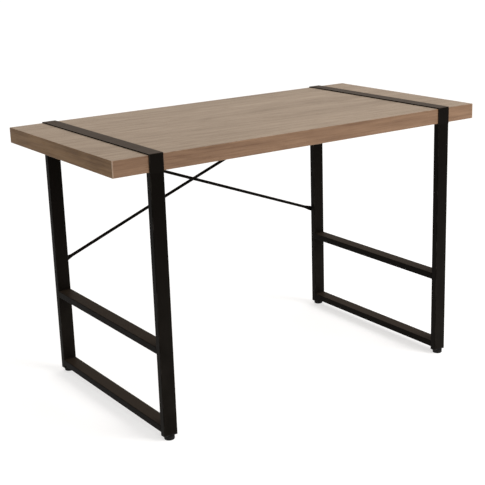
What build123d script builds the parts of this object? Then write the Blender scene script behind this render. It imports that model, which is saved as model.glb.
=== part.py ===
from build123d import *
import math
import os

# A desk with a thick hollow-core top held in two looped steel side frames.
# Millimetres, +Z up. +X runs along the desk and the sitter is on the -Y side.
# The origin is on the floor, under the middle of the top.

# Top
TOP_LENGTH = 1200.0
TOP_DEPTH = 608.0
TOP_THICKNESS = 43.0
SKIN_THICKNESS = 5.0
BAND_THICKNESS = 1.5
BAND_EDGE_RADIUS = 0.8
CORE_RAIL_WIDTH = 38.0
CORE_BLOCK_WIDTH = 60.0
CELL_APOTHEM = 25.0
PAPER_THICKNESS = 1.2

# Side frames
HEIGHT = 762.0
FRAME_X = 480.0
STRAP_THICKNESS = 3.0
STRAP_BEND_RADIUS = 3.0
STRAP_EDGE_RADIUS = 0.5
TUBE_WIDTH = 40.0
TUBE_DEPTH = 20.0
TUBE_WALL = 1.5
TUBE_RADIUS = 2.5
BOTTOM_RAIL_Z = 30.0
MID_RAIL_Z = 248.0

# Wood screws that hold the top from below
SCREW_ROWS = 3
SCREW_PITCH = 220.0
SCREW_RADIUS = 2.0
PILOT_RADIUS = 2.05
PILOT_OVERRUN = 1.0
PLATE_HOLE_RADIUS = 2.4
SCREW_LENGTH = 25.0
SCREW_POINT = 4.0
SCREW_TIP_RADIUS = 0.3
SCREW_HEAD_RADIUS = 4.2
SCREW_HEAD_HEIGHT = 2.6
SCREW_HEAD_ROUNDING = 1.3
SCREW_SLOT = 1.2
SCREW_SLOT_DEPTH = 1.3

# Levelling feet
PAD_RADIUS = 14.0
PAD_HEIGHT = 11.7
PAD_EDGE_RADIUS = 2.5
PAD_FLUTES = 20
PAD_FLUTE_RADIUS = 0.9
PAD_FLUTE_BOTTOM = 4.0
PAD_SOCKET_Z = 4.0
STUD_RADIUS = 4.0
STUD_LENGTH = 34.0
STUD_CHAMFER = 0.8
THREAD_FIT = 0.05
LEG_END_Z = 12.0
PLUG_FLANGE = 3.0
PLUG_LENGTH = 22.0
PLUG_FIT = 0.1
PLUG_HOLE_RADIUS = 4.4
NUT_ACROSS_FLATS = 13.0
NUT_HEIGHT = 6.5

# Crossed rods between the back legs
ROD_RADIUS = 4.75
BRACE_LOW_Z = 336.0
BRACE_HIGH_Z = 700.0
EYE_THICKNESS = 4.0
EYE_RADIUS = 7.5
EYE_HOLE_RADIUS = 3.3
EYE_FLAT_LENGTH = 24.0
EYE_TAPER_LENGTH = 22.0
ROD_GAP = 0.2

# Bolts, washers and rivet nuts of the rods
BOLT_RADIUS = 3.0
BOLT_LENGTH = 16.0
BOLT_HEAD_RADIUS = 5.25
BOLT_HEAD_HEIGHT = 3.3
BOLT_HEAD_ROUNDING = 1.6
SOCKET_ACROSS_FLATS = 4.0
SOCKET_DEPTH = 2.0
WASHER_RADIUS = 6.4
WASHER_HOLE_RADIUS = 3.2
WASHER_THICKNESS = 1.2
RIVET_NUT_RADIUS = 4.5
RIVET_NUT_FLANGE_RADIUS = 5.8
RIVET_NUT_FLANGE = 0.8
RIVET_NUT_BULGE_RADIUS = 6.2
RIVET_NUT_BULGE = 2.5
RIVET_NUT_LENGTH = 13.5

# Worked out from the above
TOP_Z = HEIGHT - STRAP_THICKNESS
UNDERSIDE_Z = TOP_Z - TOP_THICKNESS
LEG_TOP_Z = UNDERSIDE_Z - STRAP_THICKNESS
LEG_FACE_Y = TOP_DEPTH / 2 + STRAP_THICKNESS
LEG_Y = LEG_FACE_Y - TUBE_DEPTH / 2
RAIL_LENGTH = 2 * (LEG_FACE_Y - TUBE_DEPTH)
CORE_LENGTH = TOP_LENGTH - 2 * BAND_THICKNESS
CORE_DEPTH = TOP_DEPTH - 2 * BAND_THICKNESS
CORE_HEIGHT = TOP_THICKNESS - 2 * SKIN_THICKNESS
CORE_Z = UNDERSIDE_Z + SKIN_THICKNESS
CORE_INNER_DEPTH = CORE_DEPTH - 2 * CORE_RAIL_WIDTH
CORE_INNER_X = CORE_LENGTH / 2 - CORE_RAIL_WIDTH
SIDES = {"left": -1, "right": 1}
ENDS = {"front": -1, "back": 1}

os.makedirs("parts", exist_ok=True)


def save(piece, name):
    """Label a finished piece and write it as its own STEP file."""
    piece.part.label = name
    export_step(piece.part, f"parts/{name}.step")


def board(length, depth, height, x, y, z):
    """A plain rectangular board standing on height z."""
    with BuildPart(Plane.XY.offset(z)) as piece:
        with Locations((x, y)):
            Box(length, depth, height, align=(Align.CENTER, Align.CENTER, Align.MIN))
    return piece


def drilled_board(length, depth, height, x, z, holes, hole_radius, hole_depth):
    """A board on the desk's centre line with upright holes drilled from below."""
    with BuildPart() as piece:
        with BuildSketch(Plane.XY.offset(z)):
            with Locations((x, 0)):
                Rectangle(length, depth)
        extrude(amount=height)
        with BuildSketch(Plane.XY.offset(z)):
            with Locations(*holes):
                Circle(hole_radius)
        extrude(amount=hole_depth, mode=Mode.SUBTRACT)
    return piece


def edge_band(length, depth, x, y, outward):
    """Strip glued to one edge of the top, its outer corners eased."""
    with BuildPart(Plane.XY.offset(UNDERSIDE_Z)) as piece:
        with Locations((x, y)):
            Box(length, depth, TOP_THICKNESS, align=(Align.CENTER, Align.CENTER, Align.MIN))
        outer_face = piece.faces().sort_by(outward)[-1]
        fillet(outer_face.edges(), BAND_EDGE_RADIUS)
    return piece


def screw_points(x):
    """Centres of the wood screws under one strap."""
    middle = (SCREW_ROWS - 1) / 2
    return [(x, (row - middle) * SCREW_PITCH) for row in range(SCREW_ROWS)]


# ---------------------------------------------------------------- the top
ALL_SCREW_POINTS = screw_points(-FRAME_X) + screw_points(FRAME_X)

upper_skin = board(CORE_LENGTH, CORE_DEPTH, SKIN_THICKNESS, 0, 0, TOP_Z - SKIN_THICKNESS)
save(upper_skin, "upper_skin")

lower_skin = drilled_board(
    CORE_LENGTH,
    CORE_DEPTH,
    SKIN_THICKNESS,
    x=0,
    z=UNDERSIDE_Z,
    holes=ALL_SCREW_POINTS,
    hole_radius=PILOT_RADIUS,
    hole_depth=SKIN_THICKNESS,
)
save(lower_skin, "lower_skin")

for end, sign in ENDS.items():
    rail_y = sign * (CORE_DEPTH - CORE_RAIL_WIDTH) / 2
    save(board(CORE_LENGTH, CORE_RAIL_WIDTH, CORE_HEIGHT, 0, rail_y, CORE_Z), f"{end}_core_rail")

for side, sign in SIDES.items():
    rail_x = sign * (CORE_LENGTH - CORE_RAIL_WIDTH) / 2
    rail = board(CORE_RAIL_WIDTH, CORE_INNER_DEPTH, CORE_HEIGHT, rail_x, 0, CORE_Z)
    save(rail, f"{side}_core_rail")
    block = drilled_board(
        CORE_BLOCK_WIDTH,
        CORE_INNER_DEPTH,
        CORE_HEIGHT,
        x=sign * FRAME_X,
        z=CORE_Z,
        holes=screw_points(sign * FRAME_X),
        hole_radius=PILOT_RADIUS,
        hole_depth=SCREW_LENGTH - STRAP_THICKNESS - SKIN_THICKNESS + PILOT_OVERRUN,
    )
    save(block, f"{side}_core_block")


def honeycomb(x_low, x_high):
    """Expanded paper honeycomb that fills one chamber of the core."""
    length = x_high - x_low
    inside = (length - 2 * PAPER_THICKNESS, CORE_INNER_DEPTH - 2 * PAPER_THICKNESS)
    columns = math.ceil(length / (CELL_APOTHEM * math.sqrt(3))) + 2
    rows = math.ceil(CORE_INNER_DEPTH / (2 * CELL_APOTHEM)) + 2
    middle = Plane(origin=((x_low + x_high) / 2, 0, CORE_Z))
    with BuildPart() as piece:
        with BuildSketch(middle):
            Rectangle(length, CORE_INNER_DEPTH)
        extrude(amount=CORE_HEIGHT)
        with BuildSketch(middle):
            with HexLocations(CELL_APOTHEM, columns, rows):
                RegularPolygon(CELL_APOTHEM - PAPER_THICKNESS / 2, 6, major_radius=False)
            Rectangle(*inside, mode=Mode.INTERSECT)
        extrude(amount=CORE_HEIGHT, mode=Mode.SUBTRACT)
    return piece


BLOCK_INNER_X = FRAME_X - CORE_BLOCK_WIDTH / 2
BLOCK_OUTER_X = FRAME_X + CORE_BLOCK_WIDTH / 2
save(honeycomb(-BLOCK_INNER_X, BLOCK_INNER_X), "middle_honeycomb")
save(honeycomb(-CORE_INNER_X, -BLOCK_OUTER_X), "left_honeycomb")
save(honeycomb(BLOCK_OUTER_X, CORE_INNER_X), "right_honeycomb")

for end, sign in ENDS.items():
    band_y = sign * (TOP_DEPTH - BAND_THICKNESS) / 2
    outward = Axis((0, 0, 0), (0, sign, 0))
    save(edge_band(TOP_LENGTH, BAND_THICKNESS, 0, band_y, outward), f"{end}_edge_band")

for side, sign in SIDES.items():
    band_x = sign * (TOP_LENGTH - BAND_THICKNESS) / 2
    outward = Axis((0, 0, 0), (sign, 0, 0))
    save(edge_band(BAND_THICKNESS, CORE_DEPTH, band_x, 0, outward), f"{side}_edge_band")


# ------------------------------------------------------------ side frames
def tube_section(start):
    """Hollow section of the frame tube on its start plane."""
    with BuildSketch(start) as section:
        RectangleRounded(TUBE_WIDTH, TUBE_DEPTH, TUBE_RADIUS)
        RectangleRounded(
            TUBE_WIDTH - 2 * TUBE_WALL,
            TUBE_DEPTH - 2 * TUBE_WALL,
            TUBE_RADIUS - TUBE_WALL,
            mode=Mode.SUBTRACT,
        )
    return section.sketch


def facing_back(y):
    """Plane that looks out of the back of the desk: local x is -X and local y is +Z."""
    return Plane(origin=(0, y, 0), x_dir=(-1, 0, 0), z_dir=(0, 1, 0))


def brace_points(x):
    """Bolt positions of one back leg, on a plane that faces back."""
    return [(-x, BRACE_LOW_Z), (-x, BRACE_HIGH_Z)]


def leg(x, y, rod_holes=()):
    """Leg tube from its end plug up to the plate under the top."""
    bottom = LEG_END_Z + PLUG_FLANGE
    with BuildPart() as piece:
        extrude(tube_section(Plane(origin=(x, y, bottom))), amount=LEG_TOP_Z - bottom)
        if rod_holes:
            with BuildSketch(facing_back(LEG_FACE_Y)):
                with Locations(*rod_holes):
                    Circle(RIVET_NUT_RADIUS)
            extrude(amount=-2 * TUBE_WALL, mode=Mode.SUBTRACT)
    return piece


def rail(x, z):
    """Cross tube between the front and the back leg."""
    start = Plane(origin=(x, -RAIL_LENGTH / 2, z), x_dir=(1, 0, 0), z_dir=(0, 1, 0))
    with BuildPart() as piece:
        extrude(tube_section(start), amount=RAIL_LENGTH)
    return piece


def strap(x):
    """Flat bar bent down over the top's front and back edges, flush with the legs."""
    with BuildPart() as piece:
        with BuildSketch(Plane.YZ.offset(x - TUBE_WIDTH / 2)):
            with Locations((0, LEG_TOP_Z)):
                Rectangle(2 * LEG_FACE_Y, HEIGHT - LEG_TOP_Z, align=(Align.CENTER, Align.MIN))
                Rectangle(
                    TOP_DEPTH,
                    TOP_Z - LEG_TOP_Z,
                    align=(Align.CENTER, Align.MIN),
                    mode=Mode.SUBTRACT,
                )
        extrude(amount=TUBE_WIDTH)
        fillet(piece.edges().filter_by(Axis.X).group_by(Axis.Z)[-1], STRAP_BEND_RADIUS)
        fillet(piece.faces().filter_by(Axis.X).edges(), STRAP_EDGE_RADIUS)
    return piece


for side, sign in SIDES.items():
    frame_x = sign * FRAME_X
    save(leg(frame_x, -LEG_Y), f"front_{side}_leg")
    save(leg(frame_x, LEG_Y, brace_points(frame_x)), f"back_{side}_leg")
    save(rail(frame_x, BOTTOM_RAIL_Z), f"{side}_bottom_rail")
    save(rail(frame_x, MID_RAIL_Z), f"{side}_mid_rail")
    save(strap(frame_x), f"{side}_strap")

    plate = drilled_board(
        TUBE_WIDTH,
        TOP_DEPTH,
        STRAP_THICKNESS,
        x=frame_x,
        z=LEG_TOP_Z,
        holes=screw_points(frame_x),
        hole_radius=PLATE_HOLE_RADIUS,
        hole_depth=STRAP_THICKNESS,
    )
    save(plate, f"{side}_top_plate")

with BuildPart() as top_screws:
    with BuildSketch(Plane.XY.offset(LEG_TOP_Z - SCREW_HEAD_HEIGHT)):
        with Locations(*ALL_SCREW_POINTS):
            Circle(SCREW_HEAD_RADIUS)
    extrude(amount=SCREW_HEAD_HEIGHT)
    fillet(top_screws.edges().group_by(Axis.Z)[0], SCREW_HEAD_ROUNDING)
    with BuildSketch(Plane.XY.offset(LEG_TOP_Z)):
        with Locations(*ALL_SCREW_POINTS):
            Circle(SCREW_RADIUS)
    extrude(amount=SCREW_LENGTH)
    chamfer(top_screws.edges().group_by(Axis.Z)[-1], SCREW_POINT, SCREW_RADIUS - SCREW_TIP_RADIUS)
    with BuildSketch(Plane.XY.offset(LEG_TOP_Z - SCREW_HEAD_HEIGHT)):
        with Locations(*ALL_SCREW_POINTS):
            Rectangle(SCREW_HEAD_RADIUS, SCREW_SLOT)
            Rectangle(SCREW_SLOT, SCREW_HEAD_RADIUS)
    extrude(amount=SCREW_SLOT_DEPTH, mode=Mode.SUBTRACT)
save(top_screws, "top_screws")


# --------------------------------------------------------- levelling feet
def leg_plug(x, y):
    """Plastic plug that closes a leg tube and holds the foot's nut in a hexagonal pocket."""
    pocket_z = LEG_END_Z + PLUG_FLANGE + PLUG_LENGTH - NUT_HEIGHT
    inner_width = TUBE_WIDTH - 2 * (TUBE_WALL + PLUG_FIT)
    inner_depth = TUBE_DEPTH - 2 * (TUBE_WALL + PLUG_FIT)
    with BuildPart() as piece:
        with BuildSketch(Plane(origin=(x, y, LEG_END_Z))):
            RectangleRounded(TUBE_WIDTH, TUBE_DEPTH, TUBE_RADIUS)
        extrude(amount=PLUG_FLANGE)
        with BuildSketch(Plane(origin=(x, y, LEG_END_Z + PLUG_FLANGE))):
            RectangleRounded(inner_width, inner_depth, TUBE_RADIUS - TUBE_WALL)
        extrude(amount=PLUG_LENGTH)
        with BuildSketch(Plane(origin=(x, y, pocket_z))):
            RegularPolygon(NUT_ACROSS_FLATS / 2 + PLUG_FIT, 6, major_radius=False)
        extrude(amount=NUT_HEIGHT, mode=Mode.SUBTRACT)
        with BuildSketch(Plane(origin=(x, y, LEG_END_Z))):
            Circle(PLUG_HOLE_RADIUS)
        extrude(amount=PLUG_FLANGE + PLUG_LENGTH, mode=Mode.SUBTRACT)
    return piece


def foot_pad(x, y):
    """Round pad with a fluted grip, turned by hand to set the height."""
    with BuildPart() as piece:
        with BuildSketch(Plane(origin=(x, y, 0))):
            Circle(PAD_RADIUS)
        extrude(amount=PAD_HEIGHT)
        fillet(piece.edges().group_by(Axis.Z)[0], PAD_EDGE_RADIUS)
        with BuildSketch(Plane(origin=(x, y, PAD_FLUTE_BOTTOM))):
            with PolarLocations(PAD_RADIUS, PAD_FLUTES):
                Circle(PAD_FLUTE_RADIUS)
        extrude(amount=PAD_HEIGHT, mode=Mode.SUBTRACT)
        with BuildSketch(Plane(origin=(x, y, PAD_SOCKET_Z))):
            Circle(STUD_RADIUS + THREAD_FIT)
        extrude(amount=PAD_HEIGHT, mode=Mode.SUBTRACT)
    return piece


def foot_stud(x, y):
    """Steel stud that stands in the pad and screws into the leg's nut."""
    with BuildPart() as piece:
        with BuildSketch(Plane(origin=(x, y, PAD_SOCKET_Z))):
            Circle(STUD_RADIUS)
        extrude(amount=STUD_LENGTH)
        chamfer(piece.edges().group_by(Axis.Z)[-1], STUD_CHAMFER)
    return piece


foot_points = []
for side, x_sign in SIDES.items():
    for end, y_sign in ENDS.items():
        foot_x = x_sign * FRAME_X
        foot_y = y_sign * LEG_Y
        foot_points.append((foot_x, foot_y))
        save(leg_plug(foot_x, foot_y), f"{end}_{side}_leg_plug")
        save(foot_pad(foot_x, foot_y), f"{end}_{side}_foot_pad")
        save(foot_stud(foot_x, foot_y), f"{end}_{side}_foot_stud")

with BuildPart() as foot_nuts:
    with BuildSketch(Plane.XY.offset(LEG_END_Z + PLUG_FLANGE + PLUG_LENGTH - NUT_HEIGHT)):
        with Locations(*foot_points):
            RegularPolygon(NUT_ACROSS_FLATS / 2, 6, major_radius=False)
            Circle(STUD_RADIUS + THREAD_FIT, mode=Mode.SUBTRACT)
    extrude(amount=NUT_HEIGHT)
save(foot_nuts, "foot_nuts")


# ------------------------------------------------------------ crossed rods
EYE_Y = LEG_FACE_Y + RIVET_NUT_FLANGE + EYE_THICKNESS / 2
BRACE_RISE = BRACE_HIGH_Z - BRACE_LOW_Z
HALF_SPAN = math.hypot(2 * FRAME_X, BRACE_RISE) / 2
HALF_ROUND = HALF_SPAN - EYE_FLAT_LENGTH - EYE_TAPER_LENGTH


def brace_rod(rise, bow):
    """Round rod with a flattened eye at each end, bowed a little to pass the other rod."""
    along = Vector(2 * FRAME_X, 0, rise).normalized()
    back = Vector(0, 1, 0)
    middle = Vector(0, EYE_Y, (BRACE_LOW_Z + BRACE_HIGH_Z) / 2)
    with BuildPart() as piece:
        with BuildLine(Plane(origin=middle, x_dir=along, z_dir=along.cross(back))) as bent:
            ThreePointArc((-HALF_ROUND, 0), (0, bow), (HALF_ROUND, 0))
        with BuildSketch(Plane(origin=bent.line @ 0, x_dir=back, z_dir=bent.line % 0)):
            Circle(ROD_RADIUS)
        sweep(path=bent.line)
        for end, sign in enumerate((-1, 1)):
            shoulder = middle + along * (sign * (HALF_ROUND + EYE_TAPER_LENGTH))
            with BuildSketch(Plane(origin=bent.line @ end, x_dir=back, z_dir=bent.line % end)):
                Circle(ROD_RADIUS)
            with BuildSketch(Plane(origin=shoulder, x_dir=back, z_dir=along)):
                Rectangle(EYE_THICKNESS, 2 * EYE_RADIUS)
            loft()
        eye_plane = Plane(origin=middle - back * (EYE_THICKNESS / 2), x_dir=along, z_dir=back)
        with BuildSketch(eye_plane):
            for sign in (-1, 1):
                with Locations((sign * (HALF_SPAN - EYE_FLAT_LENGTH / 2), 0)):
                    Rectangle(EYE_FLAT_LENGTH, 2 * EYE_RADIUS)
                with Locations((sign * HALF_SPAN, 0)):
                    Circle(EYE_RADIUS)
                    Circle(EYE_HOLE_RADIUS, mode=Mode.SUBTRACT)
        extrude(amount=EYE_THICKNESS)
    return piece


ROD_BOW = ROD_RADIUS + ROD_GAP / 2
save(brace_rod(BRACE_RISE, ROD_BOW), "rising_brace_rod")
save(brace_rod(-BRACE_RISE, -ROD_BOW), "falling_brace_rod")

ALL_BRACE_POINTS = brace_points(-FRAME_X) + brace_points(FRAME_X)
WASHER_Y = EYE_Y + EYE_THICKNESS / 2
HEAD_Y = WASHER_Y + WASHER_THICKNESS

with BuildPart() as brace_rivet_nuts:
    with BuildSketch(facing_back(LEG_FACE_Y)):
        with Locations(*ALL_BRACE_POINTS):
            Circle(RIVET_NUT_FLANGE_RADIUS)
    extrude(amount=RIVET_NUT_FLANGE)
    with BuildSketch(facing_back(LEG_FACE_Y)):
        with Locations(*ALL_BRACE_POINTS):
            Circle(RIVET_NUT_RADIUS)
    extrude(amount=-RIVET_NUT_LENGTH)
    with BuildSketch(facing_back(LEG_FACE_Y - TUBE_WALL)):
        with Locations(*ALL_BRACE_POINTS):
            Circle(RIVET_NUT_BULGE_RADIUS)
    extrude(amount=-RIVET_NUT_BULGE)
    with BuildSketch(facing_back(LEG_FACE_Y + RIVET_NUT_FLANGE)):
        with Locations(*ALL_BRACE_POINTS):
            Circle(BOLT_RADIUS + THREAD_FIT)
    extrude(amount=-RIVET_NUT_LENGTH - RIVET_NUT_FLANGE, mode=Mode.SUBTRACT)
save(brace_rivet_nuts, "brace_rivet_nuts")

with BuildPart() as brace_washers:
    with BuildSketch(facing_back(WASHER_Y)):
        with Locations(*ALL_BRACE_POINTS):
            Circle(WASHER_RADIUS)
            Circle(WASHER_HOLE_RADIUS, mode=Mode.SUBTRACT)
    extrude(amount=WASHER_THICKNESS)
save(brace_washers, "brace_washers")

with BuildPart() as brace_bolts:
    with BuildSketch(facing_back(HEAD_Y)):
        with Locations(*ALL_BRACE_POINTS):
            Circle(BOLT_HEAD_RADIUS)
    extrude(amount=BOLT_HEAD_HEIGHT)
    fillet(brace_bolts.edges().group_by(Axis.Y)[-1], BOLT_HEAD_ROUNDING)
    with BuildSketch(facing_back(HEAD_Y)):
        with Locations(*ALL_BRACE_POINTS):
            Circle(BOLT_RADIUS)
    extrude(amount=-BOLT_LENGTH)
    with BuildSketch(facing_back(HEAD_Y + BOLT_HEAD_HEIGHT)):
        with Locations(*ALL_BRACE_POINTS):
            RegularPolygon(SOCKET_ACROSS_FLATS / 2, 6, major_radius=False)
    extrude(amount=-SOCKET_DEPTH, mode=Mode.SUBTRACT)
save(brace_bolts, "brace_bolts")
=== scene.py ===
import math

import bpy
from bpy.props import FloatProperty, FloatVectorProperty, IntProperty, PointerProperty
from bpy.types import Operator, Panel, PropertyGroup
from mathutils import Euler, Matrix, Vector


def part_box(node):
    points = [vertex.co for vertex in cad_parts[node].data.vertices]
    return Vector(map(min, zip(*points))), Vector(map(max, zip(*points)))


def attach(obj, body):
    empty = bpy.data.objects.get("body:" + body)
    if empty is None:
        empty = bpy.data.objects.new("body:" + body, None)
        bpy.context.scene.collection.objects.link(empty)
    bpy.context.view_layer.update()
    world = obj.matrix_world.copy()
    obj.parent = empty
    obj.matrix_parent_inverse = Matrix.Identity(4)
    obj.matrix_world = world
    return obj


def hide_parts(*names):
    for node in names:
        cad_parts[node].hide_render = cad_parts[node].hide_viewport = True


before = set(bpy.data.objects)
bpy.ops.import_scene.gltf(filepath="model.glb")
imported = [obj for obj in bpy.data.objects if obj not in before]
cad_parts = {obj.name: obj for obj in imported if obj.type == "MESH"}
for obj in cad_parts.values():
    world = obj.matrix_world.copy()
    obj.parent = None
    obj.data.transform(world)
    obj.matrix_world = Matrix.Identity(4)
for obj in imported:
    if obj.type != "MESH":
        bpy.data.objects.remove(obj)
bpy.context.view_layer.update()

bl_info = {
    "name": "Steel-framed desk",
    "version": (1, 0, 0),
    "blender": (4, 5, 0),
    "location": "3D View > Sidebar > Desk",
    "description": "Finishes an oak-faced desk in steel frames: grain, coating, welds, threads and stage",
    "category": "Object",
}

MM = 0.001
SIDES = ("left", "right")
ENDS = ("front", "back")
CORNERS = [(end, side) for end in ENDS for side in SIDES]

# Outside radius of the frame tubes' corners
TUBE_CORNER = 2.5 * MM
# A half size that no piece reaches, for an axis along which a shape has no end to wear
ENDLESS = 1.0
# Layers of the oak print. Along and across say how many times finer than one streak a layer is.
OAK_LAYERS = {
    "broad": dict(along=1 / 4, across=1 / 8, start=(3.1, 1.7, 0), noise=(2.0, 0.5, 0.0), weight=0.7),
    "streak": dict(along=1, across=1, start=(0, 0, 0), noise=(3.0, 0.5, 0.3), weight=0.8),
    "line": dict(along=1.6, across=3.2, start=(1, 4, 2), noise=(3.0, 0.55, 0.2), weight=0.8),
    "fibre": dict(along=5, across=12, start=(0, 0, 0), noise=(3.0, 0.6, 0.0), weight=0.6),
}
# Rounding of a weld bead, and its size in the valleys and at the ends, as shares of its full size
BEAD_ROUNDING = 0.72
BEAD_VALLEY = 0.70
BEAD_END = 0.45
# Widths of the flats and flanks of a thread, as shares of its pitch: three flats and two flanks
THREAD_FLAT = 0.12
THREAD_FLANK = 0.32


# ------------------------------------------------------------- shared steps
def colour_setting(name, description, default):
    """A colour that the user may change."""
    return FloatVectorProperty(
        name=name, description=description, default=default, size=3, min=0, max=1, subtype="COLOR"
    )


def length_setting(name, description, default):
    """A length that the user may change, in metres."""
    return FloatProperty(
        name=name, description=description, default=default, min=0, precision=4, unit="LENGTH"
    )


def place_setting(name, description, default):
    """A place that the user may change, in metres."""
    return FloatVectorProperty(
        name=name, description=description, default=default, size=3, precision=4, subtype="TRANSLATION"
    )


def amount_setting(name, description, default, most=1.0):
    """A plain amount that the user may change."""
    return FloatProperty(name=name, description=description, default=default, min=0, max=most)


def middle_of(node):
    """Centre and half sizes of a CAD node's box."""
    low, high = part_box(node)
    return (Vector(low) + Vector(high)) / 2, (Vector(high) - Vector(low)) / 2


def paint(material, *nodes):
    """Give every face of these CAD nodes one material."""
    for name in nodes:
        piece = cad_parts[name]
        piece.data.materials.clear()
        piece.data.materials.append(material)


# ------------------------------------------------------------ node building
def start_material(name, **sockets):
    """New material. The words are the shader's own sockets, with _ for a space."""
    material = bpy.data.materials.new(name)
    material.use_nodes = True
    shader = material.node_tree.nodes["Principled BSDF"]
    for socket, value in sockets.items():
        shader.inputs[socket.replace("_", " ")].default_value = value
    return material, material.node_tree, shader


def put(tree, kind, sockets=None, **properties):
    """Add a node to the left of the last one, with its sockets filled or linked."""
    made = tree.nodes.new(kind)
    made.location = (-220 * (len(tree.nodes) - 2), 0)
    for key, value in properties.items():
        setattr(made, key, value)
    for key, value in (sockets or {}).items():
        if isinstance(value, bpy.types.NodeSocket):
            tree.links.new(value, made.inputs[key])
        else:
            made.inputs[key].default_value = value
    return made


def place(tree, scale=(1, 1, 1), shift=(0, 0, 0)):
    """Points of the object in metres, moved and then scaled."""
    start = put(tree, "ShaderNodeTexCoord").outputs["Object"]
    moved = put(tree, "ShaderNodeVectorMath", {0: start, 1: shift}, operation="ADD")
    sized = {"Vector": moved.outputs["Vector"], "Scale": scale}
    return put(tree, "ShaderNodeMapping", sized).outputs["Vector"]


def grain_place(tree, along, across, turned, shift=(0, 0, 0)):
    """Points squeezed so that a pattern is long in X, or in Y where the grain is turned."""
    scale = (across, along, across) if turned else (along, across, across)
    return place(tree, scale, shift)


def noise(tree, points, detail=3.0, roughness=0.5, distortion=0.0):
    """Soft noise, about one cell to a unit of the points."""
    sockets = {
        "Vector": points,
        "Scale": 1.0,
        "Detail": detail,
        "Roughness": roughness,
        "Distortion": distortion,
    }
    return put(tree, "ShaderNodeTexNoise", sockets).outputs["Fac"]


def sums(tree, operation, a, b, c=0.0, clamp=False):
    """One step of arithmetic on numbers or sockets."""
    step = put(tree, "ShaderNodeMath", {0: a, 1: b, 2: c}, operation=operation, use_clamp=clamp)
    return step.outputs["Value"]


def axes(tree, points):
    """The X, Y and Z of points or directions."""
    return put(tree, "ShaderNodeSeparateXYZ", {"Vector": points}).outputs


def spread(tree, source, low, high, to_low=0.0, to_high=1.0):
    """Stretch one range of a pattern onto another, held at its ends."""
    sockets = {"Value": source, "From Min": low, "From Max": high, "To Min": to_low, "To Max": to_high}
    return put(tree, "ShaderNodeMapRange", sockets).outputs["Result"]


def ramp(tree, source, stops):
    """Colours along a pattern, as (position, colour) stops."""
    made = put(tree, "ShaderNodeValToRGB", {"Fac": source})
    elements = made.color_ramp.elements
    while len(elements) < len(stops):
        elements.new(0.5)
    for element, (position, colour) in zip(elements, stops):
        element.position = position
        element.color = (*colour, 1)
    return made.outputs["Color"]


def mixed(tree, factor, under, over, blend_type="MIX"):
    """Lay one colour over another."""
    made = put(tree, "ShaderNodeMix", data_type="RGBA", blend_type=blend_type)
    for key, value in ((0, factor), (6, under), (7, over)):
        if isinstance(value, bpy.types.NodeSocket):
            tree.links.new(value, made.inputs[key])
        else:
            made.inputs[key].default_value = value if key == 0 else (*value, 1)
    return made.outputs[2]


def bumped(tree, height, distance):
    """Surface normal of a pattern that stands up by a distance in metres."""
    sockets = {"Height": height, "Distance": distance, "Strength": 1.0}
    return put(tree, "ShaderNodeBump", sockets).outputs["Normal"]


def folded(tree, value, *centres):
    """A place along one axis, folded about each of the centres in turn: a distance from the last."""
    for centre in centres:
        value = sums(tree, "ABSOLUTE", sums(tree, "SUBTRACT", value, centre), 0.0)
    return value


def nearness(tree, folds, halves, width):
    """1 at the arrises of box shapes, fading to 0 at a width from them."""
    depths = []
    for along, centres, half in zip(axes(tree, place(tree)), folds, halves):
        away = folded(tree, along, *centres)
        depths.append(sums(tree, "ABSOLUTE", sums(tree, "SUBTRACT", half, away), 0.0))
    x, y, z = depths
    least = sums(tree, "MINIMUM", x, y)
    next_least = sums(tree, "MINIMUM", sums(tree, "MAXIMUM", x, y), z)
    second = sums(tree, "MAXIMUM", least, next_least)
    return spread(tree, second, 0.0, width, 1.0, 0.0)


def finish_shader(tree, shader, colour, roughness, normal):
    """Link a material's three patterns to its shader."""
    tree.links.new(colour, shader.inputs["Base Color"])
    tree.links.new(roughness, shader.inputs["Roughness"])
    tree.links.new(normal, shader.inputs["Normal"])


# ----------------------------------------------------------------- settings
class OakSettings(PropertyGroup):
    """Colours and grain of the faces and edges of the top."""

    face_light: colour_setting("Face light", "Pale wood between the streaks", (0.320, 0.246, 0.180))
    face_dark: colour_setting("Face dark", "Streaks of the face", (0.200, 0.146, 0.100))
    edge_light: colour_setting("Edge light", "Pale wood of the edges", (0.185, 0.110, 0.064))
    edge_dark: colour_setting("Edge dark", "Streaks of the edges", (0.100, 0.052, 0.027))
    end_light: colour_setting("End light", "Pale wood of the short edges", (0.190, 0.114, 0.055))
    end_dark: colour_setting("End dark", "Streaks of the short edges", (0.100, 0.053, 0.022))
    # Wear colour that also paints the pale edge highlight along the arrises and down the corners of the top.
    wear_and_highlight: colour_setting("Worn edge", "Pale line of rubbed edges", (0.42, 0.32, 0.24))
    pore: colour_setting("Pores", "Tint of the open pores", (0.55, 0.46, 0.40))
    streak_length: length_setting("Streak length", "Usual length of one streak", 0.28)
    streak_width: length_setting("Streak width", "Usual width of one streak", 0.013)
    pore_depth: length_setting("Pore depth", "Depth of the pressed grain", 0.00012)
    arris_width: length_setting("Rubbed edge", "How far wear reaches in from an arris", 0.0013)
    # Width of the painted highlight line down the corners.
    corner_highlight_width: length_setting("Corner line", "How far wear reaches in from a corner", 0.00351)


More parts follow.
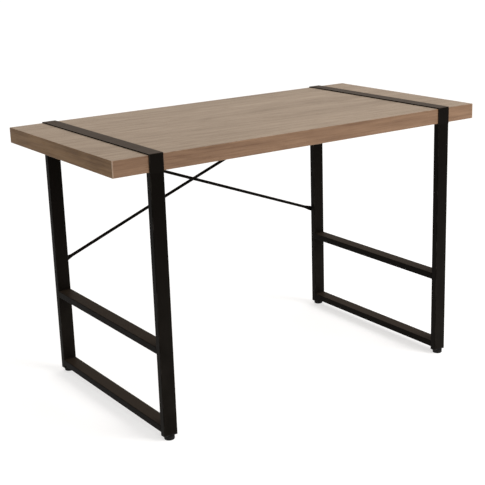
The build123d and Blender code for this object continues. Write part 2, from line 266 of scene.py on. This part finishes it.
class CoatSettings(PropertyGroup):
    """Black powder coat of the steel."""

    colour: colour_setting("Coat", "Black of the coat", (0.0014, 0.0011, 0.0008))
    # Dust tint that also paints light on the lower frames: lighter low down, standing for the shade under
    # the top higher up.
    dust_and_low_light: colour_setting("Dust", "Tint where dust clings, low down", (0.0072, 0.0061, 0.0050))
    # Painted sheen as well as dust: the colour that lightens upward faces.
    dust_and_sheen: colour_setting("Settled dust", "Tint of upward faces", (0.040, 0.029, 0.021))
    # Rubbed arrises that also paint pale edge highlights on the coat.
    rubbed_and_highlit: colour_setting("Rubbed", "Tint of rubbed arrises", (0.026, 0.023, 0.020))
    sheen: colour_setting("Gloss tint", "Tint of the coat's gloss", (1.0, 0.84, 0.70))
    gloss: amount_setting("Gloss", "Gloss of the legs and rods", 0.040)
    rail_gloss: amount_setting("Rail gloss", "Gloss of the rails", 0.025)
    strap_gloss: amount_setting("Strap gloss", "Gloss of the straps", 0.055)
    peel_size: length_setting("Orange peel", "Size of the coat's dimples", 0.0016)
    peel_depth: length_setting("Peel depth", "Depth of the coat's dimples", 0.00003)
    # Height up to which the coat is painted lighter, dust and painted light together.
    dust_and_light_height: length_setting("Dust height", "How far up the frames dust clings", 0.62)
    arris_width: length_setting("Rubbed edge", "How far wear reaches in from an arris", 0.0024)


class WeldSettings(PropertyGroup):
    """Weld beads where tubes meet."""

    fillet: length_setting("Fillet", "Leg of the fillet beads", 0.0030)
    seam: length_setting("Seam", "Width of the flush seams", 0.0026)
    sink: length_setting("Sink", "How far a bead is melted into the tubes", 0.0003)
    ripple: length_setting("Ripple", "Spacing of the ripples", 0.0024)


class FootSettings(PropertyGroup):
    """Threads and plastic of the levelling feet."""

    pitch: length_setting("Pitch", "Rise of one turn of the stud's thread", 0.00125)
    depth: length_setting("Thread depth", "Depth of the stud's thread", 0.00077)
    steps: IntProperty(name="Steps", description="Facets of one turn", default=24, min=8, max=64)
    plastic: colour_setting("Plastic", "Black of the pads and plugs", (0.0052, 0.0049, 0.0046))


class StageSettings(PropertyGroup):
    """Floor, light and camera."""

    floor_radius: length_setting("Floor radius", "Size of the pale floor", 45.0)
    floor_colour: colour_setting("Floor", "Tint of the floor", (0.50, 0.50, 0.50))
    floor_glow: amount_setting("Floor glow", "Light that comes up through the floor", 0.60, 4)
    horizon: colour_setting("Horizon", "Tint of the light from the horizon", (1.0, 0.85, 0.72))
    sky_low: amount_setting("Low sky", "Light from the horizon", 0.52, 4)
    sky_high: amount_setting("High sky", "Light from overhead", 1.05, 4)
    sky_side: amount_setting("Side sky", "How much more light comes from the right", 0.5)
    key_power: FloatProperty(
        name="Key", description="Strength of the soft box", default=150, min=0, unit="POWER"
    )
    key_size: length_setting("Key size", "Width of the soft box", 2.6)
    key_place: place_setting("Key place", "Middle of the soft box", (1.9, -3.3, 2.3))
    key_aim: place_setting("Key aim", "Point that the soft box faces", (0, 0, 0.5))
    camera_place: place_setting("Camera place", "Where the camera stands", (-1.7791, -2.6098, 1.2965))
    camera_turn: FloatVectorProperty(
        name="Camera turn",
        description="Which way the camera faces",
        default=[math.radians(turn) for turn in (74.115, 1.571, -35.101)],
        size=3,
        subtype="EULER",
    )
    shift_x: FloatProperty(name="Shift X", description="Sideways shift of the frame", default=-0.0320)
    shift_y: FloatProperty(name="Shift Y", description="Upward shift of the frame", default=-0.0144)
    lens: FloatProperty(name="Lens", description="Focal length", default=82.118, min=1, unit="CAMERA")


# ---------------------------------------------------------------- materials
def growth_figure(tree, along, across, turned):
    """The wide wavering bands that growth rings leave in a board."""
    sockets = {
        "Vector": grain_place(tree, along / 9, across / 40, turned, (0.4, 0.9, 0)),
        "Scale": 7.0,
        "Distortion": 14.0,
        "Detail": 3.0,
        "Detail Scale": 0.9,
        "Detail Roughness": 0.55,
    }
    made = put(tree, "ShaderNodeTexWave", sockets, wave_type="BANDS", bands_direction="DIAGONAL")
    return made.outputs["Fac"]


def wear_and_edge_highlights(tree, look):
    """Rubbed patches along every arris of the top that also paint a pale edge highlight, and a painted
    highlight line down its corners.
    """
    band, band_half = middle_of("front_edge_band")
    half = Vector((band_half.x, abs(band.y) + band_half.y, band_half.z))
    folds = ((0,), (0,), (band.z,))
    patches = spread(tree, noise(tree, place(tree, (60, 60, 60)), 4.0, 0.6), 0.38, 0.60)
    arris = nearness(tree, folds, half, look.arris_width)
    corner = nearness(tree, folds, (half.x, half.y, ENDLESS), look.corner_highlight_width)
    rubbed_and_highlit = sums(tree, "MULTIPLY", sums(tree, "MULTIPLY", arris, 0.4), patches)
    # Painted highlight down the corners of the top.
    corner_highlight = sums(tree, "MULTIPLY", corner, spread(tree, patches, 0.0, 1.0, 0.45, 0.8))
    return sums(tree, "MAXIMUM", rubbed_and_highlit, corner_highlight)


def oak_material(name, light, dark, gloss, turned, contrast):
    """Oak print: broad tone, growth figure, streaks, fibres and pressed pores along the grain."""
    look = bpy.context.scene.desk_oak
    material, tree, shader = start_material(name, Specular_IOR_Level=gloss)
    along = 1 / look.streak_length
    across = 1 / look.streak_width

    figure = growth_figure(tree, along, across, turned)
    tone = sums(tree, "MULTIPLY_ADD", figure, 0.14 * contrast, 0.42)
    patterns = {}
    for kind, layer in OAK_LAYERS.items():
        finer = (along * layer["along"], across * layer["across"])
        patterns[kind] = noise(tree, grain_place(tree, *finer, turned, layer["start"]), *layer["noise"])
        centred = sums(tree, "SUBTRACT", patterns[kind], 0.5)
        tone = sums(tree, "MULTIPLY_ADD", centred, layer["weight"] * contrast, tone)
    pore_noise = noise(tree, grain_place(tree, along * 8, across * 17, turned, (5, 2, 1)), 2.0, 0.5)
    pores = spread(tree, pore_noise, 0.60, 0.72)

    middle = [(a + b) / 2 for a, b in zip(light, dark)]
    colour = ramp(tree, tone, [(0.12, dark), (0.46, middle), (0.85, light)])
    colour = mixed(tree, sums(tree, "MULTIPLY", pores, 0.55), colour, look.pore, "MULTIPLY")
    # Rubbed arrises with painted edge highlights, and painted highlight lines down the corners.
    colour = mixed(tree, wear_and_edge_highlights(tree, look), colour, look.wear_and_highlight)

    roughness = spread(tree, patterns["fibre"], 0.3, 0.7, 0.40, 0.54)
    roughness = sums(tree, "MULTIPLY_ADD", pores, 0.16, roughness, clamp=True)
    height = sums(tree, "MULTIPLY_ADD", patterns["fibre"], 0.35, sums(tree, "MULTIPLY", pores, -1.0))
    finish_shader(tree, shader, colour, roughness, bumped(tree, height, look.pore_depth))
    return material


def coat_material(name, gloss, dust_and_sheen_amount, folds=None, halves=None):
    """Powder coat: orange peel; dust that also paints the frames lighter low down; dust and painted sheen on
    upward faces; and arrises rubbed a little where the shape has them, which also paints pale edge
    highlights.
    """
    look = bpy.context.scene.desk_coat
    tint = (*look.sheen, 1)
    material, tree, shader = start_material(name, Specular_IOR_Level=gloss, Specular_Tint=tint)
    cells = 1 / look.peel_size
    peel = noise(tree, place(tree, (cells,) * 3), 2.0, 0.5)
    speck = noise(tree, place(tree, (cells * 4,) * 3), 2.0, 0.6)
    dust = noise(tree, place(tree, (14, 14, 9)), 5.0, 0.6)

    # Painted light: the coat is lighter low down and darker higher up, standing for the shade under the top,
    # with dust patches through it.
    up = axes(tree, place(tree))["Z"]
    painted_low_light = spread(tree, up, 0.15 * look.dust_and_light_height, look.dust_and_light_height, 1.0, 0.0)
    low_light_and_dust_mask = sums(tree, "MULTIPLY", painted_low_light, spread(tree, dust, 0.32, 0.62, 0.35, 1.0))
    colour = mixed(tree, low_light_and_dust_mask, look.colour, look.dust_and_low_light)
    # Painted sheen on upward faces, given as settled dust: the tops of the straps and rails are lightened.
    facing_up = axes(tree, put(tree, "ShaderNodeNewGeometry").outputs["Normal"])["Z"]
    dust_and_sheen = sums(tree, "MULTIPLY", spread(tree, facing_up, 0.6, 0.95), dust_and_sheen_amount)
    dust_and_sheen = sums(tree, "MULTIPLY", dust_and_sheen, spread(tree, dust, 0.3, 0.7, 0.85, 1.0))
    colour = mixed(tree, dust_and_sheen, colour, look.dust_and_sheen)

    roughness = spread(tree, dust, 0.3, 0.7, 0.46, 0.56)
    # Rubbed arrises, lighter than the coat, that also paint pale edge highlights.
    if folds:
        arris = nearness(tree, folds, halves, look.arris_width)
        patches = spread(tree, noise(tree, place(tree, (90, 90, 35)), 5.0, 0.65), 0.46, 0.64)
        wear_and_highlight = sums(tree, "MULTIPLY", arris, patches)
        colour = mixed(tree, wear_and_highlight, colour, look.rubbed_and_highlit)
        roughness = sums(tree, "MULTIPLY_ADD", wear_and_highlight, -0.10, roughness, clamp=True)
    height = sums(tree, "MULTIPLY_ADD", speck, 0.3, peel)
    finish_shader(tree, shader, colour, roughness, bumped(tree, height, look.peel_depth))
    return material


def particleboard_material(name):
    """Pressed chips of pale wood."""
    material, tree, shader = start_material(name, Specular_IOR_Level=0.3)
    cells = {"Vector": place(tree, (260, 330, 420)), "Randomness": 1.0}
    chips = put(tree, "ShaderNodeTexVoronoi", cells, feature="F1")
    seams = put(tree, "ShaderNodeTexVoronoi", cells, feature="DISTANCE_TO_EDGE")
    shade = put(tree, "ShaderNodeSeparateColor", {"Color": chips.outputs["Color"]}).outputs[0]
    stops = [(0.0, (0.30, 0.19, 0.10)), (0.5, (0.46, 0.32, 0.19)), (1.0, (0.60, 0.46, 0.30))]
    colour = ramp(tree, shade, stops)
    gap = spread(tree, seams.outputs["Distance"], 0.0, 0.12, 1.0, 0.0)
    colour = mixed(tree, sums(tree, "MULTIPLY", gap, 0.5), colour, (0.16, 0.10, 0.055))
    fuzz = noise(tree, place(tree, (1800, 1800, 1800)), 2.0)
    roughness = spread(tree, fuzz, 0.3, 0.7, 0.78, 0.94)
    height = sums(tree, "MULTIPLY_ADD", fuzz, 0.4, sums(tree, "MULTIPLY", gap, -1.0))
    finish_shader(tree, shader, colour, roughness, bumped(tree, height, 0.0002))
    return material


def kraft_material(name):
    """Brown paper with fibres and flecks."""
    material, tree, shader = start_material(name, Specular_IOR_Level=0.25)
    fibres = noise(tree, place(tree, (700, 700, 160)), 4.0, 0.65, 1.2)
    flecks = spread(tree, noise(tree, place(tree, (1500, 1500, 900)), 2.0), 0.64, 0.72)
    colour = ramp(tree, fibres, [(0.3, (0.27, 0.165, 0.085)), (0.7, (0.45, 0.30, 0.17))])
    colour = mixed(tree, sums(tree, "MULTIPLY", flecks, 0.6), colour, (0.12, 0.07, 0.035))
    roughness = spread(tree, fibres, 0.3, 0.7, 0.80, 0.95)
    finish_shader(tree, shader, colour, roughness, bumped(tree, fibres, 0.00015))
    return material


def zinc_material(name):
    """Bright zinc plate with a faint blue and straw cast and fine scratches."""
    material, tree, shader = start_material(name, Metallic=1.0)
    cast = noise(tree, place(tree, (120, 120, 120)), 3.0)
    scratches = noise(tree, place(tree, (900, 900, 5200)), 3.0, 0.7)
    stops = [(0.35, (0.52, 0.55, 0.60)), (0.5, (0.62, 0.62, 0.61)), (0.65, (0.64, 0.60, 0.50))]
    colour = ramp(tree, cast, stops)
    roughness = spread(tree, scratches, 0.3, 0.7, 0.26, 0.44)
    finish_shader(tree, shader, colour, roughness, bumped(tree, scratches, 0.00001))
    return material


def black_oxide_material(name):
    """Oiled black oxide with brown rubs."""
    material, tree, shader = start_material(name, Metallic=0.85, Specular_IOR_Level=0.4)
    oil = noise(tree, place(tree, (260, 260, 260)), 4.0, 0.6)
    stops = [(0.35, (0.018, 0.017, 0.017)), (0.55, (0.030, 0.027, 0.025)), (0.75, (0.060, 0.047, 0.038))]
    colour = ramp(tree, oil, stops)
    grit = noise(tree, place(tree, (2400, 2400, 2400)), 2.0)
    roughness = spread(tree, oil, 0.3, 0.7, 0.34, 0.52)
    finish_shader(tree, shader, colour, roughness, bumped(tree, grit, 0.00002))
    return material


def plastic_material(name, dust_and_light_height):
    """Spark-grained black plastic, dusty and scuffed below a height."""
    look = bpy.context.scene.desk_feet
    material, tree, shader = start_material(name, Specular_IOR_Level=0.15)
    grain = noise(tree, place(tree, (1500, 1500, 1500)), 3.0, 0.6)
    scuffs = spread(tree, noise(tree, place(tree, (300, 300, 900)), 4.0, 0.7), 0.52, 0.66)
    low = spread(tree, axes(tree, place(tree))["Z"], 0.0, dust_and_light_height, 1.0, 0.0)
    dusty = sums(tree, "MULTIPLY", scuffs, low)
    colour = mixed(tree, grain, look.plastic, [channel * 1.8 for channel in look.plastic])
    colour = mixed(tree, sums(tree, "MULTIPLY", dusty, 0.6), colour, (0.10, 0.095, 0.088))
    roughness = spread(tree, grain, 0.3, 0.7, 0.48, 0.62)
    roughness = sums(tree, "MULTIPLY_ADD", dusty, 0.2, roughness, clamp=True)
    finish_shader(tree, shader, colour, roughness, bumped(tree, grain, 0.00006))
    return material


# ---------------------------------------------------------- modelling steps
def select_only(*pieces):
    """Select these objects and nothing else, the last one active."""
    bpy.ops.object.select_all(action="DESELECT")
    for piece in pieces:
        piece.select_set(True)
        bpy.context.view_layer.objects.active = piece


def select_parts(piece, kind, wanted):
    """In edit mode, select the verts, edges or faces that a test wants."""
    bpy.ops.object.mode_set(mode="EDIT")
    bpy.ops.mesh.select_mode(type={"vertices": "VERT", "edges": "EDGE", "polygons": "FACE"}[kind])
    bpy.ops.mesh.select_all(action="DESELECT")
    bpy.ops.object.mode_set(mode="OBJECT")
    for part in getattr(piece.data, kind):
        part.select = wanted(part)
    bpy.ops.object.mode_set(mode="EDIT")


def edit_whole():
    """Enter edit mode with the whole of the active piece selected."""
    bpy.ops.object.mode_set(mode="EDIT")
    bpy.ops.mesh.select_all(action="SELECT")


def apply_modifier(piece, kind, **settings):
    """Add a modifier and apply it at once."""
    modifier = piece.modifiers.new(kind.title(), kind)
    for key, value in settings.items():
        setattr(modifier, key, value)
    bpy.ops.object.modifier_apply(modifier=modifier.name)


def settle(piece):
    """Move the object's place, turn and size into its mesh."""
    select_only(piece)
    bpy.ops.object.transform_apply(location=True, rotation=True, scale=True)


def copy_to(piece, location, turn=(0, 0, 0)):
    """A copy with its own mesh, set down at a place."""
    select_only(piece)
    bpy.ops.object.duplicate(linked=False)
    copy = bpy.context.object
    copy.location = location
    copy.rotation_euler = turn
    settle(copy)
    return copy


def model_bead(length, size, sink, ripple):
    """A rippled bead along X, in the corner of a floor at Z 0 and a wall at Y 0, sunk into both."""
    bpy.ops.object.select_all(action="DESELECT")
    whole = size + sink
    middle = (size - sink) / 2
    bpy.ops.mesh.primitive_cube_add(size=1, location=(0, middle, middle), scale=(length, whole, whole))
    bead = bpy.context.object
    settle(bead)

    def runs_in_x(edge):
        a, b = (bead.data.vertices[i].co for i in edge.vertices)
        return abs(a.x - b.x) > length / 2

    def is_outer(edge):
        a, b = (bead.data.vertices[i].co for i in edge.vertices)
        return runs_in_x(edge) and min(a.y, a.z, b.y, b.z) > size / 2

    select_parts(bead, "edges", is_outer)
    bpy.ops.mesh.bevel(offset=BEAD_ROUNDING * whole, segments=3, profile=0.5)
    select_parts(bead, "edges", runs_in_x)
    ripples = 2 * max(2, round(length / ripple / 2))
    bpy.ops.mesh.subdivide(number_cuts=2 * ripples - 1)
    step = length / (2 * ripples)
    corner = (0, -sink, -sink)
    select_parts(bead, "vertices", lambda v: round((v.co.x + length / 2) / step) % 2 == 1)
    bpy.ops.transform.resize(value=(1, BEAD_VALLEY, BEAD_VALLEY), center_override=corner)
    select_parts(bead, "vertices", lambda v: abs(v.co.x) > length / 2 - step / 2)
    bpy.ops.transform.resize(value=(1, BEAD_END, BEAD_END), center_override=corner)
    edit_whole()
    bpy.ops.mesh.normals_make_consistent(inside=False)
    bpy.ops.object.mode_set(mode="OBJECT")
    apply_modifier(bead, "SUBSURF", levels=1, render_levels=1)
    bpy.ops.object.shade_smooth()
    return bead


def model_stud(low, high, radius, pitch, depth, steps):
    """A threaded stud on the Z axis, turned from one pitch below it and cut off at two heights."""
    bpy.ops.object.select_all(action="DESELECT")
    bpy.ops.mesh.primitive_plane_add(size=pitch, location=(0, 0, 0))
    stud = bpy.context.object
    edit_whole()
    bpy.ops.mesh.select_mode(type="VERT")
    bpy.ops.mesh.merge(type="CENTER")
    bpy.ops.transform.translate(value=(radius - depth, 0, low - pitch))
    flat = (0, THREAD_FLAT)
    for outward, share in (flat, (depth, THREAD_FLANK), flat, (-depth, THREAD_FLANK), flat):
        bpy.ops.mesh.extrude_vertices_move(
            TRANSFORM_OT_translate={"value": (outward, 0, share * pitch)}
        )
    bpy.ops.object.mode_set(mode="OBJECT")
    apply_modifier(
        stud,
        "SCREW",
        axis="Z",
        angle=math.tau,
        steps=steps,
        render_steps=steps,
        iterations=math.ceil((high - low) / pitch) + 2,
        screw_offset=pitch,
        use_merge_vertices=True,
        merge_threshold=1e-6,
    )
    for height, direction in ((low, -1), (high, 1)):
        edit_whole()
        bpy.ops.mesh.bisect(
            plane_co=(0, 0, height), plane_no=(0, 0, direction), use_fill=True, clear_outer=True
        )
        bpy.ops.object.mode_set(mode="OBJECT")
    edit_whole()
    bpy.ops.mesh.remove_doubles(threshold=1e-6)
    bpy.ops.mesh.normals_make_consistent(inside=False)
    bpy.ops.object.mode_set(mode="OBJECT")
    bpy.ops.object.shade_smooth_by_angle(angle=math.radians(25))
    return stud


# ---------------------------------------------------------------- operators
class DESK_OT_finish_top(Operator):
    """Lay the oak print on both faces of the top"""

    bl_idname = "desk.finish_top"
    bl_label = "Faces of the top"

    def execute(self, context):
        look = context.scene.desk_oak
        for name, node, contrast in (("oak_face", "upper_skin", 1.25), ("oak_underside", "lower_skin", 1.1)):
            print_face = oak_material(
                name, look.face_light, look.face_dark, gloss=0.2, turned=False, contrast=contrast
            )
            paint(print_face, node)
        return {"FINISHED"}


class DESK_OT_finish_edges(Operator):
    """Wrap the edges of the top in banding with its grain along each edge"""

    bl_idname = "desk.finish_edges"
    bl_label = "Edge bands"

    def execute(self, context):
        look = context.scene.desk_oak
        long_band = oak_material(
            "oak_long_edge", look.edge_light, look.edge_dark, gloss=0.3, turned=False, contrast=1.1
        )
        short_band = oak_material(
            "oak_short_edge", look.end_light, look.end_dark, gloss=0.08, turned=True, contrast=1.5
        )
        paint(long_band, *(f"{end}_edge_band" for end in ENDS))
        paint(short_band, *(f"{side}_edge_band" for side in SIDES))
        return {"FINISHED"}


class DESK_OT_finish_core(Operator):
    """Give the hidden frame and honeycomb of the top their board and paper"""

    bl_idname = "desk.finish_core"
    bl_label = "Core of the top"

    def execute(self, context):
        rails = [f"{edge}_core_rail" for edge in ENDS + SIDES]
        blocks = [f"{side}_core_block" for side in SIDES]
        paint(particleboard_material("particleboard"), *rails, *blocks)
        combs = [f"{part}_honeycomb" for part in ("left", "middle", "right")]
        paint(kraft_material("kraft_paper"), *combs)
        return {"FINISHED"}


class DESK_OT_coat_frames(Operator):
    """Powder coat the legs, rails, straps and plates of both side frames"""

    bl_idname = "desk.coat_frames"
    bl_label = "Side frames"

    def execute(self, context):
        look = context.scene.desk_coat
        leg, leg_half = middle_of("front_left_leg")
        mid, rail_half = middle_of("left_mid_rail")
        bottom = middle_of("left_bottom_rail")[0]
        strap, strap_half = middle_of("left_strap")
        plate, plate_half = middle_of("left_top_plate")
        both_frames = (0, abs(leg.x))
        between_rails = ((mid.z + bottom.z) / 2, (mid.z - bottom.z) / 2)
        leg_coat = coat_material(
            "coat_legs",
            look.gloss,
            dust_and_sheen_amount=0.0,
            folds=(both_frames, (0, abs(leg.y)), (leg.z,)),
            halves=(leg_half.x, leg_half.y, ENDLESS),
        )
        rail_coat = coat_material(
            "coat_rails",
            look.rail_gloss,
            dust_and_sheen_amount=0.55,
            folds=(both_frames, (0,), between_rails),
            halves=(rail_half.x, ENDLESS, rail_half.z),
        )
        strap_coat = coat_material(
            "coat_straps",
            look.strap_gloss,
            dust_and_sheen_amount=1.0,
            folds=(both_frames, (0,), (strap.z - strap_half.z,)),
            halves=(strap_half.x, strap_half.y, 2 * strap_half.z),
        )
        plate_coat = coat_material(
            "coat_plates",
            look.gloss,
            dust_and_sheen_amount=0.0,
            folds=(both_frames, (0,), (plate.z,)),
            halves=(plate_half.x, ENDLESS, plate_half.z),
        )
        paint(leg_coat, *(f"{end}_{side}_leg" for end, side in CORNERS))
        paint(rail_coat, *(f"{side}_{level}_rail" for side in SIDES for level in ("bottom", "mid")))
        paint(strap_coat, *(f"{side}_strap" for side in SIDES))
        paint(plate_coat, *(f"{side}_top_plate" for side in SIDES))
        return {"FINISHED"}


class DESK_OT_weld_frames(Operator):
    """Run rippled weld beads round the joints of both side frames"""

    bl_idname = "desk.weld_frames"
    bl_label = "Weld beads"

    def execute(self, context):
        look = context.scene.desk_welds
        coat = coat_material("coat_welds", context.scene.desk_coat.gloss, dust_and_sheen_amount=0.2)
        rail_half = middle_of("left_mid_rail")[1]
        fillet = model_bead(2 * (rail_half.x - TUBE_CORNER), look.fillet, look.sink, look.ripple)
        seam = model_bead(2 * (rail_half.z - TUBE_CORNER), look.seam, look.sink, look.ripple)
        for side in SIDES:
            beads = []
            for level in ("bottom", "mid"):
                rail, half = middle_of(f"{side}_{level}_rail")
                for y_sign in (-1, 1):
                    joint = Vector((rail.x, y_sign * half.y, rail.z))
                    rise = Vector((0, 0, half.z))
                    beads.append(self.lay_fillet(fillet, joint + rise, y_sign, above=True))
                    beads.append(self.lay_fillet(fillet, joint - rise, y_sign, above=False))
                    for x_sign in (-1, 1):
                        edge = joint + Vector((x_sign * (half.x - look.seam), 0, 0))
                        beads.append(self.lay_seam(seam, edge, x_sign, y_sign))
            plate, plate_half = middle_of(f"{side}_top_plate")
            for y_sign in (-1, 1):
                corner = Vector((plate.x, y_sign * rail_half.y, plate.z - plate_half.z))
                beads.append(self.lay_fillet(fillet, corner, y_sign, above=False))
            select_only(*beads)
            bpy.ops.object.join()
            welds = bpy.context.object
            welds.name = f"{side}_frame_welds"
            welds.data.materials.append(coat)
            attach(welds, "desk")
        for pattern in (fillet, seam):
            bpy.data.objects.remove(pattern)
        return {"FINISHED"}

    @staticmethod
    def lay_fillet(fillet, corner, y_sign, above):
        """Turn a bead into the corner between a leg and the top or the underside of a level piece."""
        quarters = {(-1, True): 0, (-1, False): -1, (1, True): 1, (1, False): 2}[(y_sign, above)]
        return copy_to(fillet, corner, (quarters * math.pi / 2, 0, 0))

    @staticmethod
    def lay_seam(seam, edge, x_sign, y_sign):
        """Stand a bead upright in the notch between a rail's end and the leg's rounded corner."""
        upright = Euler((0, math.pi / 2, 0)).to_matrix()
        facing = {(1, 1): 0, (-1, 1): 1, (-1, -1): 2, (1, -1): 3}[(x_sign, y_sign)]
        turned = Euler((0, 0, facing * math.pi / 2)).to_matrix() @ upright
        return copy_to(seam, edge, turned.to_euler())


class DESK_OT_finish_braces(Operator):
    """Coat the crossed rods and finish their bolts, washers and rivet nuts"""

    bl_idname = "desk.finish_braces"
    bl_label = "Crossed rods"

    def execute(self, context):
        coat = coat_material("coat_rods", context.scene.desk_coat.gloss, dust_and_sheen_amount=0.2)
        paint(coat, "rising_brace_rod", "falling_brace_rod")
        paint(black_oxide_material("black_oxide"), "brace_bolts", "brace_washers")
        paint(zinc_material("zinc_rivet_nuts"), "brace_rivet_nuts")
        return {"FINISHED"}


class DESK_OT_thread_studs(Operator):
    """Cut the thread of the four levelling studs"""

    bl_idname = "desk.thread_studs"
    bl_label = "Foot studs"

    def execute(self, context):
        look = context.scene.desk_feet
        zinc = zinc_material("zinc_studs")
        low, high = (Vector(corner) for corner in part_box("front_left_foot_stud"))
        stud = model_stud(low.z, high.z, (high.x - low.x) / 2, look.pitch, look.depth, look.steps)
        for end, side in CORNERS:
            node = f"{end}_{side}_foot_stud"
            centre = middle_of(node)[0]
            piece = copy_to(stud, (centre.x, centre.y, 0))
            piece.name = f"{node}_thread"
            piece.data.materials.append(zinc)
            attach(piece, node)
            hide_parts(node)
        bpy.data.objects.remove(stud)
        return {"FINISHED"}


class DESK_OT_finish_feet(Operator):
    """Grain the plastic pads and plugs and plate the hidden nuts and the top's screws"""

    bl_idname = "desk.finish_feet"
    bl_label = "Feet, plugs and screws"

    def execute(self, context):
        pad_plastic = plastic_material("plastic_pads", dust_and_light_height=6 * MM)
        plug_plastic = plastic_material("plastic_plugs", dust_and_light_height=16 * MM)
        for end, side in CORNERS:
            paint(pad_plastic, f"{end}_{side}_foot_pad")
            paint(plug_plastic, f"{end}_{side}_leg_plug")
        paint(zinc_material("zinc_screws"), "top_screws", "foot_nuts")
        return {"FINISHED"}


class DESK_OT_set_stage(Operator):
    """Lay the pale floor, set the soft light and place the camera"""

    bl_idname = "desk.set_stage"
    bl_label = "Stage"

    def execute(self, context):
        look = context.scene.desk_stage
        self.lay_floor(look)
        self.light_sky(context, look)
        self.hang_key(context, look)
        self.place_camera(context, look)
        context.scene.view_settings.view_transform = "Standard"
        context.scene.view_settings.look = "None"
        return {"FINISHED"}

    @staticmethod
    def lay_floor(look):
        """A wide plain disc, level with the pads."""
        bpy.ops.object.select_all(action="DESELECT")
        bpy.ops.mesh.primitive_circle_add(vertices=96, radius=look.floor_radius, fill_type="NGON")
        floor = bpy.context.object
        floor.name = "floor"
        material, tree, shader = start_material("pale_floor", Specular_IOR_Level=0.0)
        fleck = noise(tree, place(tree, (3, 3, 3)), 3.0)
        darker = [channel * 0.985 for channel in look.floor_colour]
        tree.links.new(mixed(tree, fleck, look.floor_colour, darker), shader.inputs["Base Color"])
        shader.inputs["Roughness"].default_value = 1.0
        shader.inputs["Emission Color"].default_value = (1, 1, 1, 1)
        shader.inputs["Emission Strength"].default_value = look.floor_glow
        behind = put(tree, "ShaderNodeNewGeometry").outputs["Backfacing"]
        clear = put(tree, "ShaderNodeBsdfTransparent").outputs["BSDF"]
        one_sided = put(tree, "ShaderNodeMixShader", {0: behind, 1: shader.outputs["BSDF"], 2: clear})
        output = tree.nodes["Material Output"]
        tree.links.new(one_sided.outputs["Shader"], output.inputs["Surface"])
        floor.data.materials.append(material)

    @staticmethod
    def light_sky(context, look):
        """Soft light, stronger overhead and to the right, warm near the horizon, plain white when seen."""
        world = bpy.data.worlds.new("studio")
        world.use_nodes = True
        context.scene.world = world
        tree = world.node_tree
        sky = tree.nodes["Background"]
        start = put(tree, "ShaderNodeTexCoord").outputs["Generated"]
        towards = axes(tree, start)
        light = spread(tree, towards["Z"], 0.0, 1.0, look.sky_low, look.sky_high)
        across = sums(tree, "MULTIPLY_ADD", towards["X"], look.sky_side, 1.0)
        light = sums(tree, "MULTIPLY", light, across)
        seen = put(tree, "ShaderNodeLightPath").outputs["Is Camera Ray"]
        untinted = spread(tree, towards["Z"], 0.1, 0.8)
        plain = sums(tree, "MAXIMUM", untinted, seen)
        tree.links.new(mixed(tree, plain, look.horizon, (1, 1, 1)), sky.inputs["Color"])
        tree.links.new(sums(tree, "MAXIMUM", light, seen), sky.inputs["Strength"])

    @staticmethod
    def hang_key(context, look):
        """A very broad soft box, high at the front right."""
        key = bpy.data.lights.new("key", "AREA")
        key.shape = "DISK"
        key.size = look.key_size
        key.energy = look.key_power
        key_object = bpy.data.objects.new("key", key)
        key_object.location = look.key_place
        towards = key_object.location - look.key_aim
        key_object.rotation_euler = towards.to_track_quat("Z", "Y").to_euler()
        key_object.visible_camera = False
        key_object.visible_glossy = False
        context.scene.collection.objects.link(key_object)

    @staticmethod
    def place_camera(context, look):
        """Look at the desk from the front left, a little above the top."""
        camera = bpy.data.cameras.new("camera")
        camera.sensor_width = 36
        camera.lens = look.lens
        camera.shift_x = look.shift_x
        camera.shift_y = look.shift_y
        camera_object = bpy.data.objects.new("camera", camera)
        camera_object.location = look.camera_place
        camera_object.rotation_euler = look.camera_turn
        context.scene.collection.objects.link(camera_object)
        context.scene.camera = camera_object


class DESK_PT_build(Panel):
    """Steps of the desk's finish, in order"""

    bl_label = "Desk"
    bl_idname = "DESK_PT_build"
    bl_space_type = "VIEW_3D"
    bl_region_type = "UI"
    bl_category = "Desk"

    def draw(self, context):
        for step in STEPS:
            self.layout.operator(step.bl_idname, text=step.bl_label)
        for group in SETTINGS:
            settings = getattr(context.scene, group)
            box = self.layout.box()
            box.label(text=group.removeprefix("desk_").title())
            for key in settings.__annotations__:
                box.prop(settings, key)


SETTINGS = {
    "desk_oak": OakSettings,
    "desk_coat": CoatSettings,
    "desk_welds": WeldSettings,
    "desk_feet": FootSettings,
    "desk_stage": StageSettings,
}
STEPS = (
    DESK_OT_finish_top,
    DESK_OT_finish_edges,
    DESK_OT_finish_core,
    DESK_OT_coat_frames,
    DESK_OT_weld_frames,
    DESK_OT_finish_braces,
    DESK_OT_thread_studs,
    DESK_OT_finish_feet,
    DESK_OT_set_stage,
)


def register():
    """Make the settings, steps and panel known."""
    for made in (*SETTINGS.values(), *STEPS, DESK_PT_build):
        bpy.utils.register_class(made)
    for key, group in SETTINGS.items():
        setattr(bpy.types.Scene, key, PointerProperty(type=group))


def unregister():
    """Forget the settings, steps and panel."""
    for key in SETTINGS:
        delattr(bpy.types.Scene, key)
    for made in reversed((*SETTINGS.values(), *STEPS, DESK_PT_build)):
        bpy.utils.unregister_class(made)


def main():
    """Run every step in order."""
    register()
    for step in STEPS:
        group, _, action = step.bl_idname.partition(".")
        getattr(getattr(bpy.ops, group), action)()


if __name__ == "__main__":
    main()
